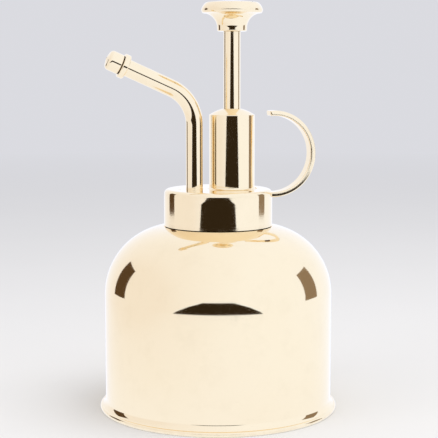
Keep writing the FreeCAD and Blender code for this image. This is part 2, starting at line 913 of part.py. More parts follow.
spout_low = delivery_top + s.seat_gap
union_low = delivery_top - s.socket_depth
union_flange = union_radius + s.union_lip
turned("spout_union", [
    (s.delivery_radius + s.push_fit, union_low),
    (union_radius, union_low),
    (union_radius, disc_top + s.seat_gap),
    (union_flange, disc_top + s.seat_gap),
    (union_flange, roof_under),
    (s.spout_radius + s.push_fit, roof_under),
    (s.spout_radius + s.push_fit, spout_low),
    (s.delivery_radius + s.push_fit, spout_low),
], x=-s.spout_x)

turned("dip_tube", tube_outline(
    s.dip_radius - s.dip_wall,
    s.dip_radius,
    s.plate_thickness + 2 * s.foot_gap,
    dip_stop - s.push_fit,
), x=s.pump_x)

strainer_low = s.plate_thickness + s.foot_gap
strainer_radius = s.dip_radius + s.block_wall
strainer_top = strainer_low + 2 * s.foot_gap + s.socket_depth / 2
strainer = turned("dip_strainer", [
    (0.0, strainer_low),
    (strainer_radius, strainer_low),
    (strainer_radius, strainer_top - s.block_wall),
    (dip_outer + s.strainer_lip, strainer_top),
    (dip_outer, strainer_top),
    (dip_outer, strainer_low + s.foot_gap / 2),
    (0.0, strainer_low + s.foot_gap / 2),
], x=s.pump_x)
slot_half = s.foot_gap / 4
slot_high = strainer_low + s.foot_gap * s.slot_share
slot_sketch = draw(strainer, "strainer_slot", "XZ_Plane", [
    (-slot_half, strainer_low + slot_half),
    (slot_half, strainer_low + slot_half),
    (slot_half, slot_high),
    (-slot_half, slot_high),
])
slot = strainer.newObject("PartDesign::Pocket", "strainer_slot_cut")
slot.Profile = slot_sketch
slot.Type = 1
slot.Midplane = True
slot_pattern = strainer.newObject("PartDesign::PolarPattern", "strainer_slots")
slot_pattern.Originals = [slot]
slot_pattern.Axis = (origin_plane(strainer, "Z_Axis"), [""])
slot_pattern.Angle = 180.0
slot_pattern.Occurrences = STRAINER_SLOTS
strainer.Tip = slot_pattern

# ---------------------------------------------------------------- spout
slope = s.spout_slope
bend_start = collar_top + s.spout_rise
bend_end_x = -s.spout_bend + s.spout_bend * sine(slope)
bend_end_z = bend_start + s.spout_bend * cosine(slope)
tip_x = bend_end_x - s.spout_length * cosine(slope)
tip_z = bend_end_z + s.spout_length * sine(slope)
spout = new_body("spout_tube")
spout_path = draw(spout, "spout_path", "XZ_Plane", [
    (0.0, spout_low),
    (0.0, bend_start),
    arc_to(s.spout_bend, True),
    (bend_end_x, bend_end_z),
    (tip_x, tip_z),
], closed=False)
spout_section = round_hole_sketch(spout, "spout_section", [
    (0.0, s.spout_radius),
    (0.0, s.spout_radius - s.spout_wall),
])
spout_section.setExpression(".AttachmentOffset.Base.z", spout_low.formula)
spout_pipe = spout.newObject("PartDesign::AdditivePipe", "spout_pipe")
spout_pipe.Profile = spout_section
spout_pipe.Spine = spout_path
spout_section.Visibility = False
spout_path.Visibility = False
place(spout, -s.spout_x, 0.0)

# ---------------------------------------------------------------- nozzle, turned about the spout's end
nozzle_tilt = slope - 90.0
nozzle_x = -s.spout_x + tip_x + s.nozzle_seat * cosine(slope)
nozzle_z = tip_z - s.nozzle_seat * sine(slope)
spigot_end = s.nozzle_ring + s.spigot_length
insert_seat = spigot_end - s.insert_depth
turned("nozzle_body", [
    (s.spout_radius + s.push_fit, 0.0),
    (s.nozzle_flange - s.nozzle_edge, 0.0),
    arc_to(s.nozzle_edge, True),
    (s.nozzle_flange, s.nozzle_edge),
    (s.nozzle_flange, s.nozzle_ring - s.nozzle_edge),
    arc_to(s.nozzle_edge, True),
    (s.nozzle_flange - s.nozzle_edge, s.nozzle_ring),
    (s.nozzle_thread, s.nozzle_ring),
    (s.nozzle_thread, spigot_end),
    (s.insert_radius + s.push_fit, spigot_end),
    (s.insert_radius + s.push_fit, insert_seat),
    (s.port_radius, insert_seat),
    (s.port_radius, s.nozzle_seat + s.push_fit),
    (s.spout_radius + s.push_fit, s.nozzle_seat + s.push_fit),
], x=nozzle_x, z=nozzle_z, tilt=nozzle_tilt)

insert_head = spigot_end + s.cap_gap
turned("swirl_insert", [
    (0.0, insert_seat + s.push_fit),
    (s.insert_radius, insert_seat + s.push_fit),
    (s.insert_radius, insert_seat + s.insert_step),
    (s.insert_core, insert_seat + s.port_radius),
    (s.insert_core, spigot_end - s.insert_step),
    (s.insert_radius, spigot_end - s.insert_step / 2),
    (s.insert_radius, insert_head),
    (0.0, insert_head),
], x=nozzle_x, z=nozzle_z, tilt=nozzle_tilt)

cap_start = s.nozzle_ring + s.cap_gap
cap_end = cap_start + s.cap_length
cap_bore = s.nozzle_thread + s.running
cap_inside = insert_head + s.seat_gap
cap_shoulder = cap_end - s.orifice - s.cap_round
turned("nozzle_cap", [
    (cap_bore, cap_start),
    (s.cap_radius - s.orifice / 2, cap_start),
    (s.cap_radius, cap_start + s.orifice / 2),
    (s.cap_radius, cap_shoulder),
    arc_to(s.cap_round, True),
    (s.cap_radius - s.cap_round, cap_shoulder + s.cap_round),
    arc_to(ball_radius(s.cap_radius - s.cap_round, s.orifice * 2, s.orifice), True),
    (s.orifice * 2, cap_end),
    (s.orifice, cap_end - s.orifice),
    (s.orifice, cap_inside),
    (cap_bore, cap_inside),
], x=nozzle_x, z=nozzle_z, tilt=nozzle_tilt)

turned("nozzle_seal", tube_outline(
    s.nozzle_thread + s.running,
    s.cap_radius - s.orifice / 2,
    s.nozzle_ring + s.seat_gap,
    cap_start - s.seat_gap,
), x=nozzle_x, z=nozzle_z, tilt=nozzle_tilt)

# ---------------------------------------------------------------- finger ring
ring_x = s.collar_radius + s.ring_overhang
ring_z = collar_top - s.ring_drop + s.ring_radius
ring_blank = DOC.addObject("Part::Cylinder", "ring_blank")
bind(ring_blank, Radius=s.ring_radius, Height=s.ring_width, Angle=s.ring_sweep)
ring_bore = DOC.addObject("Part::Cylinder", "ring_bore")
bind(ring_bore, Radius=s.ring_radius - s.ring_strip, Height=s.ring_width)
for cylinder, spin in ((ring_blank, s.ring_start.value), (ring_bore, 0.0)):
    turn = Rotation(Vector(1, 0, 0), 90).multiply(Rotation(Vector(0, 0, 1), -spin))
    cylinder.Placement = Placement(Vector(0, 0, 0), turn)
    place(cylinder, ring_x, ring_z)
    cylinder.setExpression(".Placement.Base.y", (s.ring_width / 2).formula)
collar_clear = rod_primitive("collar_clear", s.collar_radius + s.push_fit, collar_top, 0.0, 0.0)
barrel_clear = rod_primitive(
    "barrel_clear",
    s.barrel_radius + s.push_fit,
    s.barrel_height * 2,
    s.pump_x,
    collar_top,
)
cut("finger_ring", ring_blank, [ring_bore, collar_clear, barrel_clear])

NODES = [
    "reservoir_shell", "base_plate", "neck_ring", "neck_gasket", "cap_collar", "cap_liner",
    "pump_barrel", "guide_bush", "pump_cylinder", "cylinder_gasket", "gland_plug", "rod_seal",
    "plunger_rod", "thumb_knob", "piston", "piston_rings", "buffer_washer", "piston_nut",
    "spring_follower", "return_spring", "valve_block", "passage_plug", "foot_ring", "ball_cage",
    "inlet_ball", "outlet_ball", "outlet_spring", "delivery_tube", "spout_union", "dip_tube",
    "dip_strainer", "spout_tube", "nozzle_body", "swirl_insert", "nozzle_cap", "nozzle_seal",
    "finger_ring",
]

DOC.recompute()
for item in DOC.Objects:
    if "Invalid" in item.State or "Error" in item.State:
        raise RuntimeError(f"{item.Label} failed: {item.State}")

os.makedirs("parts", exist_ok=True)
for node in NODES:
    piece = DOC.getObjectsByLabel(node)[0]
    if piece.Shape.isNull() or not piece.Shape.isValid():
        raise RuntimeError(f"{node} has no valid shape")
    piece.Shape.exportStep(f"parts/{node}.step")
    box = piece.Shape.BoundBox
    print(
        f"{node}: {len(piece.Shape.Solids)} solid(s), {piece.Shape.Volume:.1f} mm3,",
        f"x {box.XMin:.2f}..{box.XMax:.2f}, y {box.YMin:.2f}..{box.YMax:.2f},",
        f"z {box.ZMin:.2f}..{box.ZMax:.2f}",
    )
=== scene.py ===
"""Brass hand mister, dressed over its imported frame.

The reservoir stands on the origin, +Z is up, the finger ring points along +X and the spout
along -X. Every length is in metres. Turned pieces are spun from their half-sections, the
spout is a bent tube and the finger ring a bent strip; the inner works keep their own solids
and get their finishes here.
"""
import json
import logging
import math
from dataclasses import dataclass, field
from enum import Enum

import bpy
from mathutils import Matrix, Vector


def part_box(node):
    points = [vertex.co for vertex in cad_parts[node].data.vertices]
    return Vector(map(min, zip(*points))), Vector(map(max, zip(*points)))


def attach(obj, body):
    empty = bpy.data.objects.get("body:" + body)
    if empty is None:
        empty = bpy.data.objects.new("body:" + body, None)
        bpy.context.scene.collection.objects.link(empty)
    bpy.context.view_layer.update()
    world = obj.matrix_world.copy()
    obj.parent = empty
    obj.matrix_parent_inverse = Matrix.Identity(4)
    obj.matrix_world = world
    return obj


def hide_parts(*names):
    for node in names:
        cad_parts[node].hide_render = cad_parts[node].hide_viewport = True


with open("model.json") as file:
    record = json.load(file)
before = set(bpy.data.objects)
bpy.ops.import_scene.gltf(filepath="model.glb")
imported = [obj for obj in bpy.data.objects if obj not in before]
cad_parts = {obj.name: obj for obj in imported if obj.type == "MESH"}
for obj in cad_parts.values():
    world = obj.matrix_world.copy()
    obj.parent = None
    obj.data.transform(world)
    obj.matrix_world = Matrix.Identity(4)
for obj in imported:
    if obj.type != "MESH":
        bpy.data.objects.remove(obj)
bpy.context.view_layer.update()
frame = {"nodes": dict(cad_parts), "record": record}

MM = 0.001
LOG = logging.getLogger("hand_mister")

Colour = tuple[float, float, float, float]
Pair = tuple[float, float]


# ------------------------------------------------------------------ measuring the frame
@dataclass(frozen=True)
class Extent:
    """Lowest and highest corners of one node of the frame."""

    low: Vector
    high: Vector

    @classmethod
    def of(cls, node: str) -> "Extent":
        """Reads a node's box."""
        low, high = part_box(node)
        return cls(Vector(low), Vector(high))

    @property
    def middle(self) -> Vector:
        """Centre of the box."""
        return (self.low + self.high) / 2

    @property
    def radius(self) -> float:
        """Half the width along Y, which is the largest radius of an upright turned node."""
        return (self.high.y - self.low.y) / 2


@dataclass(frozen=True)
class Axis:
    """The line that a turned piece is spun about."""

    foot: Vector
    along: Vector = Vector((0.0, 0.0, 1.0))

    @property
    def across(self) -> Vector:
        """Unit vector square to the axis, in the XZ plane."""
        return Vector((self.along.z, 0.0, -self.along.x))

    def point(self, radius: float, height: float) -> Vector:
        """Place of a half-section point.

        Args:
            radius: distance from the axis.
            height: distance along the axis from its foot.

        Returns:
            The point in the frame's coordinates.
        """
        return self.foot + self.across * radius + self.along * height


class Outline:
    """A half-section drawn as straight runs and arcs of (radius, height) points."""

    ARC_STEP = math.radians(4.0)

    def __init__(self, radius: float, height: float) -> None:
        """Starts the outline at one point."""
        self.points: list[Pair] = [(radius, height)]

    def to(self, radius: float, height: float) -> "Outline":
        """Adds a straight run to a point."""
        self.points.append((radius, height))
        return self

    def arc(self, radius: float, height: float, bend: float, left: bool = True) -> "Outline":
        """Adds an arc to a point.

        Args:
            radius: radius coordinate of the arc's end.
            height: height coordinate of the arc's end.
            bend: the arc's own radius.
            left: whether the way along the arc turns left.

        Returns:
            The outline, to go on drawing.
        """
        start = Vector(self.points[-1])
        end = Vector((radius, height))
        chord = end - start
        half = chord.length / 2
        rise = math.sqrt(max(bend * bend - half * half, 0.0))
        normal = Vector((-chord.y, chord.x)).normalized()
        centre = (start + end) / 2 + normal * (rise if left else -rise)
        sweep = 2 * math.asin(min(half / bend, 1.0))
        count = max(2, math.ceil(sweep / self.ARC_STEP))
        first = start - centre
        for index in range(1, count + 1):
            angle = sweep * index / count * (1 if left else -1)
            spun = Vector((
                first.x * math.cos(angle) - first.y * math.sin(angle),
                first.x * math.sin(angle) + first.y * math.cos(angle),
            ))
            self.points.append(tuple(centre + spun))
        self.points[-1] = (radius, height)
        return self


def ball_radius(outer: float, inner: float, rise: float) -> float:
    """Radius of a sphere, centred on the axis, that climbs by rise from radius outer to inner."""
    below = (outer * outer - inner * inner - rise * rise) / (2 * rise)
    return math.hypot(outer, below)


# ------------------------------------------------------------------ modelling by hand
class Bench:
    """Modelling moves: each one leaves a single mesh object at the origin."""

    SAME_POINT = MM * 0.002
    ON_AXIS = MM * 0.001
    EASED_FROM = math.radians(24.0)
    SHARP_FROM = math.radians(50.0)
    DRILL_SIDES = 96

    @staticmethod
    def clear_selection() -> None:
        """Deselects every object."""
        bpy.ops.object.select_all(action="DESELECT")

    @staticmethod
    def name_active(name: str) -> bpy.types.Object:
        """Names the active object and its mesh."""
        piece = bpy.context.active_object
        piece.name = name
        piece.data.name = name
        return piece

    @classmethod
    def trace(cls, name: str, points: list[Vector], closed: bool) -> bpy.types.Object:
        """Draws a chain of edges and stays in edit mode.

        Args:
            name: the new object's name.
            points: the chain's points in order.
            closed: whether the last point joins the first.

        Returns:
            The object, in edit mode with its whole chain selected.
        """
        cls.clear_selection()
        bpy.ops.mesh.primitive_plane_add(size=MM, location=points[0])
        piece = cls.name_active(name)
        bpy.ops.object.transform_apply(location=True, rotation=True, scale=True)
        bpy.ops.object.mode_set(mode="EDIT")
        bpy.ops.mesh.select_mode(type="VERT")
        bpy.ops.mesh.select_all(action="SELECT")
        bpy.ops.mesh.merge(type="COLLAPSE")
        chain = points + points[:1] if closed else points
        for start, end in zip(chain, chain[1:]):
            bpy.ops.mesh.extrude_vertices_move(TRANSFORM_OT_translate={"value": end - start})
        bpy.ops.mesh.select_all(action="SELECT")
        bpy.ops.mesh.remove_doubles(threshold=cls.SAME_POINT)
        return piece

    @staticmethod
    def close_up(piece: bpy.types.Object) -> None:
        """Merges doubled points and turns the faces outwards, then leaves edit mode."""
        bpy.ops.mesh.select_all(action="SELECT")
        bpy.ops.mesh.remove_doubles(threshold=Bench.SAME_POINT)
        bpy.ops.mesh.normals_make_consistent(inside=False)
        bpy.ops.object.mode_set(mode="OBJECT")
        piece.select_set(True)

    @classmethod
    def spun(cls, name: str, outline: Outline, axis: Axis, steps: int) -> bpy.types.Object:
        """Turns a closed half-section into a solid of revolution.

        Args:
            name: the piece's name.
            outline: its half-section.
            axis: the line that it is spun about.
            steps: faces around the axis.

        Returns:
            The new piece, in object mode.
        """
        points = [axis.point(radius, height) for radius, height in outline.points]
        on_axis = all(outline.points[end][0] < cls.ON_AXIS for end in (0, -1))
        piece = cls.trace(name, points, closed=not on_axis)
        bpy.ops.mesh.spin(
            steps=steps,
            angle=2 * math.pi,
            use_auto_merge=True,
            center=axis.foot,
            axis=axis.along,
        )
        cls.close_up(piece)
        return piece

    @staticmethod
    def apply(piece: bpy.types.Object, kind: str, **settings: object) -> None:
        """Adds a modifier with its settings and applies it."""
        bpy.context.view_layer.objects.active = piece
        modifier = piece.modifiers.new(kind.title(), kind)
        for name, value in settings.items():
            setattr(modifier, name, value)
        bpy.ops.object.modifier_apply(modifier=modifier.name)

    @classmethod
    def eased(cls, piece: bpy.types.Object, width: float, segments: int = 3) -> None:
        """Rounds the sharp edges of a piece and evens out its shading."""
        cls.apply(
            piece,
            "BEVEL",
            width=width,
            segments=segments,
            limit_method="ANGLE",
            angle_limit=cls.EASED_FROM,
            use_clamp_overlap=True,
        )
        cls.shaded(piece)

    @classmethod
    def shaded(cls, piece: bpy.types.Object) -> None:
        """Shades a piece smooth, with flats that stay flat."""
        cls.clear_selection()
        piece.select_set(True)
        bpy.context.view_layer.objects.active = piece
        bpy.ops.object.shade_smooth_by_angle(angle=cls.SHARP_FROM)
        cls.apply(piece, "WEIGHTED_NORMAL", mode="FACE_AREA", weight=100, keep_sharp=True)

    @classmethod
    def bored(cls, piece: bpy.types.Object, centre: Vector, radius: float, depth: float) -> None:
        """Bores one upright round hole right through a piece.

        Args:
            piece: what is bored.
            centre: the middle of the hole.
            radius: the hole's radius.
            depth: the cutter's whole height.
        """
        cls.clear_selection()
        bpy.ops.mesh.primitive_cylinder_add(
            vertices=cls.DRILL_SIDES,
            radius=radius,
            depth=depth,
            location=centre,
        )
        cutter = bpy.context.active_object
        cls.apply(piece, "BOOLEAN", operation="DIFFERENCE", solver="EXACT", object=cutter)
        bpy.data.objects.remove(cutter, do_unlink=True)


# ------------------------------------------------------------------ shader maths
class Signal:
    """One output socket, with arithmetic that adds Math nodes to its tree."""

    def __init__(self, mixer: "Mixer", socket: bpy.types.NodeSocket | None) -> None:
        """Wraps a socket of the mixer's tree."""
        self.mixer = mixer
        self.socket = socket

    def __add__(self, other: "Signal | float") -> "Signal":
        """Sum."""
        return self.mixer.maths("ADD", self, other)

    def __radd__(self, other: float) -> "Signal":
        """Sum with a number on the left."""
        return self.mixer.maths("ADD", other, self)

    def __sub__(self, other: "Signal | float") -> "Signal":
        """Difference."""
        return self.mixer.maths("SUBTRACT", self, other)

    def __rsub__(self, other: float) -> "Signal":
        """Difference from a number on the left."""
        return self.mixer.maths("SUBTRACT", other, self)

    def __mul__(self, other: "Signal | float") -> "Signal":
        """Product."""
        return self.mixer.maths("MULTIPLY", self, other)

    def __rmul__(self, other: float) -> "Signal":
        """Product with a number on the left."""
        return self.mixer.maths("MULTIPLY", other, self)

    def __truediv__(self, other: "Signal | float") -> "Signal":
        """Quotient."""
        return self.mixer.maths("DIVIDE", self, other)

    def size(self) -> "Signal":
        """Absolute value."""
        return self.mixer.maths("ABSOLUTE", self, 0.0)

    def clamped(self) -> "Signal":
        """The value held between 0 and 1."""
        return self.mixer.node("ShaderNodeClamp", inputs={"Value": self})


class Mixer:
    """Builds one node tree."""

    def __init__(self, tree: bpy.types.NodeTree) -> None:
        """Takes over a tree and empties it."""
        self.tree = tree
        tree.nodes.clear()

    def node(
        self,
        kind: str,
        settings: dict[str, object] | None = None,
        inputs: dict[str | int, object] | None = None,
        output: str | int = 0,
    ) -> Signal:
        """Adds any node.

        Args:
            kind: the node's type.
            settings: its own settings, set first; "stops" are a ramp's positions and colours.
            inputs: values or signals for its sockets.
            output: which output is wanted.

        Returns:
            That output as a signal.
        """
        made = self.tree.nodes.new(kind)
        for name, value in (settings or {}).items():
            if name == "stops":
                self.set_stops(made.color_ramp, value)
            else:
                setattr(made, name, value)
        for key, value in (inputs or {}).items():
            if isinstance(value, Signal):
                self.tree.links.new(value.socket, made.inputs[key])
            else:
                made.inputs[key].default_value = value
        return Signal(self, made.outputs[output] if made.outputs else None)

    @staticmethod
    def set_stops(ramp: bpy.types.ColorRamp, stops: list[Pair]) -> None:
        """Gives a ramp its grey stops, each a position and a brightness."""
        while len(ramp.elements) > 1:
            ramp.elements.remove(ramp.elements[-1])
        for index, (position, grey) in enumerate(stops):
            element = ramp.elements[0] if index == 0 else ramp.elements.new(position)
            element.position = position
            element.color = (grey, grey, grey, 1.0)

    def maths(self, operation: str, first: Signal | float, second: Signal | float) -> Signal:
        """Adds a Math node."""
        return self.node("ShaderNodeMath", {"operation": operation}, {0: first, 1: second})

    def place(
        self,
        stretch: tuple[float, float, float] = (1.0, 1.0, 1.0),
        tilt: float = 0.0,
        centre: tuple[float, float, float] = (0.0, 0.0, 0.0),
    ) -> Signal:
        """Object coordinates, moved to a centre, turned about Y and stretched.

        Args:
            stretch: scale along each axis after the turn.
            tilt: turn about Y, in radians.
            centre: point that becomes the pattern's origin.

        Returns:
            The mapped vector.
        """
        here = self.node("ShaderNodeTexCoord", output="Object")
        about = self.node(
            "ShaderNodeVectorMath",
            {"operation": "SUBTRACT"},
            {0: here, 1: centre},
        )
        return self.node(
            "ShaderNodeMapping",
            {"vector_type": "POINT"},
            {"Vector": about, "Rotation": (0.0, tilt, 0.0), "Scale": stretch},
        )

    def noise(self, vector: Signal, scale: float, detail: float = 3.0, blur: float = 0.5) -> Signal:
        """Fractal noise between 0 and 1.

        Args:
            vector: where it is read.
            scale: features per metre.
            detail: octaves.
            blur: how strong the finer octaves are.

        Returns:
            The noise value.
        """
        return self.node(
            "ShaderNodeTexNoise",
            {"noise_dimensions": "3D"},
            {"Vector": vector, "Scale": scale, "Detail": detail, "Roughness": blur},
            "Fac",
        )

    def ramp(self, value: Signal, stops: list[Pair]) -> Signal:
        """A grey ramp of a value."""
        return self.node("ShaderNodeValToRGB", {"stops": stops}, {"Fac": value})

    def blend(self, amount: Signal | float, first: object, second: object) -> Signal:
        """Colour that goes from first to second with the amount."""
        return self.node(
            "ShaderNodeMix",
            {"data_type": "RGBA", "clamp_factor": True},
            {0: amount, 6: first, 7: second},
            2,
        )

    def bump(self, height: Signal, strength: float, depth: float, under: Signal | None = None) -> Signal:
        """Surface normal raised by a height.

        Args:
            height: the height pattern, 0 to 1.
            strength: how much of it is used.
            depth: real height of the pattern's full range.
            under: a normal that this one is laid over.

        Returns:
            The normal.
        """
        inputs: dict[str | int, object] = {"Height": height, "Strength": strength, "Distance": depth}
        if under is not None:
            inputs["Normal"] = under
        return self.node("ShaderNodeBump", inputs=inputs)


@dataclass(frozen=True)
class WearAndShadeBand:
    """A belt along a turned piece's axis that is darkened and roughened: painted shade where it lies at a
    joint or crevice, and handling wear.
    """

    height: float
    half_width: float
    amount: float = 1.0


class Grain(Enum):
    """Which way the polishing lines run."""

    ROUND_Z = (12.0, 12.0, 1400.0)
    ROUND_Y = (12.0, 1400.0, 12.0)
    ALONG_Z = (900.0, 900.0, 10.0)


def shader_output(mixer: Mixer, surface: Signal) -> None:
    """Ends a tree with its surface."""
    mixer.node("ShaderNodeOutputMaterial", inputs={"Surface": surface})


def new_material(name: str) -> tuple[bpy.types.Material, Mixer]:
    """A new node material and the mixer for its tree."""
    material = bpy.data.materials.new(name)
    material.use_nodes = True
    return material, Mixer(material.node_tree)


@dataclass(frozen=True)
class PolishedBrass:
    """Mirror-polished pale brass with buffing lines, faint smears and darkened belts: painted shade at
    joints and crevices, and handling wear.
    """

    name: str
    grain: Grain = Grain.ROUND_Z
    tilt: float = 0.0
    bands: tuple[WearAndShadeBand, ...] = ()
    tone: Colour = (0.945, 0.795, 0.550, 1.0)
    warm: Colour = (0.930, 0.765, 0.500, 1.0)
    # the next tone colours the smears and specks, and also the painted shade in the belts at joints
    dull_and_shade: Colour = (0.760, 0.600, 0.360, 1.0)
    gloss: float = 0.045
    ripple: float = 0.030

    def material(self) -> bpy.types.Material:
        """Builds the material.

        Returns:
            A metal whose tone, roughness and relief vary over the piece.
        """
        material, mixer = new_material(self.name)
        here = mixer.place()
        lines = mixer.noise(mixer.place(self.grain.value, self.tilt), 1.0, 4.0, 0.6)
        broad = mixer.noise(here, 38.0, 2.0, 0.45)
        smears = mixer.ramp(mixer.noise(here, 120.0, 6.0, 0.62), [(0.50, 0.0), (0.74, 1.0)])
        specks = mixer.ramp(mixer.noise(here, 1500.0, 2.0, 0.5), [(0.70, 0.0), (0.78, 1.0)])
        wear_and_shade = self.wear_and_shade(mixer)
        tone = mixer.blend(broad * 0.7, self.tone, self.warm)
        tone = mixer.blend(smears * 0.10 + specks * 0.20, tone, self.dull_and_shade)
        # painted shade: the belts darken the tone at joints and crevices, together with handling wear
        tone = mixer.blend(wear_and_shade * 0.35, tone, self.dull_and_shade)
        roughness = self.gloss + lines * 0.02 + smears * 0.045 + specks * 0.10 + wear_and_shade * 0.12
        relief = mixer.bump(broad, self.ripple, MM)
        relief = mixer.bump(lines, 0.012, MM * 0.12, relief)
        relief = mixer.bump(1 - specks, 0.04, MM * 0.03, relief)
        surface = mixer.node(
            "ShaderNodeBsdfPrincipled",
            inputs={"Base Color": tone, "Metallic": 1.0, "Roughness": roughness, "Normal": relief},
        )
        shader_output(mixer, surface)
        return material

    def wear_and_shade(self, mixer: Mixer) -> Signal:
        """Mask of the darkened belts, painted shade at joints and crevices together with handling wear,
        broken up by fine noise.
        """
        vector = mixer.place(tilt=self.tilt)
        height = mixer.node("ShaderNodeSeparateXYZ", inputs={"Vector": vector}, output="Z")
        patches = mixer.ramp(mixer.noise(vector, 420.0, 5.0, 0.65), [(0.38, 0.0), (0.66, 1.0)])
        total = mixer.maths("MULTIPLY", patches, 0.0)
        for band in self.bands:
            nearness = (1 - (height - band.height).size() / band.half_width).clamped()
            total = total + nearness * band.amount
        return (total * patches).clamped()


@dataclass(frozen=True)
class PlainBrass:
    """Machined brass left as the tool cut it: fine rings, a satin sheen and dark tarnish."""

    name: str = "plain_brass"
    tone: Colour = (0.80, 0.60, 0.30, 1.0)
    tarnish: Colour = (0.42, 0.27, 0.12, 1.0)

    def material(self) -> bpy.types.Material:
        """Builds the material."""
        material, mixer = new_material(self.name)
        rings = mixer.noise(mixer.place(Grain.ROUND_Z.value), 1.6, 3.0, 0.6)
        clouds = mixer.ramp(mixer.noise(mixer.place(), 260.0, 5.0, 0.6), [(0.42, 0.0), (0.75, 1.0)])
        tone = mixer.blend(clouds * 0.55, self.tone, self.tarnish)
        relief = mixer.bump(rings, 0.25, MM * 0.05)
        surface = mixer.node(
            "ShaderNodeBsdfPrincipled",
            inputs={
                "Base Color": tone,
                "Metallic": 1.0,
                "Roughness": 0.24 + rings * 0.12 + clouds * 0.16,
                "Normal": relief,
            },
        )
        shader_output(mixer, surface)
        return material


@dataclass(frozen=True)
class SpringSteel:
    """Drawn spring wire: bright grey with draw lines and small oxide spots."""

    name: str = "spring_steel"
    tone: Colour = (0.62, 0.63, 0.65, 1.0)
    oxide: Colour = (0.30, 0.27, 0.24, 1.0)

    def material(self) -> bpy.types.Material:
        """Builds the material."""
        material, mixer = new_material(self.name)
        drawn = mixer.noise(mixer.place((300.0, 300.0, 2400.0)), 1.0, 4.0, 0.6)
        spots = mixer.ramp(mixer.noise(mixer.place(), 900.0, 3.0, 0.5), [(0.60, 0.0), (0.76, 1.0)])
        tone = mixer.blend(spots * 0.6, self.tone, self.oxide)
        surface = mixer.node(
            "ShaderNodeBsdfPrincipled",
            inputs={
                "Base Color": tone,
                "Metallic": 1.0,
                "Roughness": 0.22 + drawn * 0.14 + spots * 0.2,
                "Normal": mixer.bump(drawn, 0.2, MM * 0.03),
            },
        )
        shader_output(mixer, surface)
        return material


@dataclass(frozen=True)
class Moulded:
    """Moulded plastic or rubber with a fine mould texture and handling marks."""

    name: str
    tone: Colour
    shade: Colour
    roughness: float
    bloom: float
    coat: float = 0.0
    transmission: float = 0.0

    def material(self) -> bpy.types.Material:
        """Builds the material."""
        material, mixer = new_material(self.name)
        here = mixer.place()
        grainy = mixer.noise(here, 2200.0, 3.0, 0.6)
        clouds = mixer.ramp(mixer.noise(here, 180.0, 4.0, 0.55), [(0.35, 0.0), (0.78, 1.0)])
        tone = mixer.blend(clouds * self.bloom, self.tone, self.shade)
        surface = mixer.node(
            "ShaderNodeBsdfPrincipled",
            inputs={
                "Base Color": tone,
                "Roughness": self.roughness + grainy * 0.12 + clouds * 0.08,
                "Normal": mixer.bump(grainy, 0.18, MM * 0.03),
                "Coat Weight": self.coat,
                "Transmission Weight": self.transmission,
                "IOR": 1.46,
            },
        )
        shader_output(mixer, surface)
        return material


WHITE_PLASTIC = Moulded(
    "white_plastic", (0.80, 0.79, 0.75, 1.0), (0.66, 0.63, 0.56, 1.0), 0.34, 0.45, coat=0.1
)
CLEAR_PLASTIC = Moulded(
    "clear_plastic", (0.88, 0.92, 0.92, 1.0), (0.78, 0.80, 0.74, 1.0), 0.16, 0.35, transmission=0.75
)
BLACK_RUBBER = Moulded("black_rubber", (0.018, 0.018, 0.020, 1.0), (0.06, 0.058, 0.055, 1.0), 0.55, 0.6)


# ------------------------------------------------------------------ sub-assemblies
@dataclass
class SubAssembly:
    """Pieces that stand for nodes of the frame and ride on its bodies."""

    pieces: list[bpy.types.Object] = field(default_factory=list, init=False)

    def settle(self, piece: bpy.types.Object, node: str, body: str, finish: PolishedBrass) -> None:
        """Dresses a piece, hides the node it stands for and puts it on its body.

        Args:
            piece: the finished mesh.
            node: the frame's node that it replaces.
            body: the body that carries it.
            finish: its finish.
        """
        piece.data.materials.clear()
        piece.data.materials.append(finish.material())
        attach(piece, body)
        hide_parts(node)
        self.pieces.append(piece)
        LOG.info("%s: %d faces on %s", piece.name, len(piece.data.polygons), body)


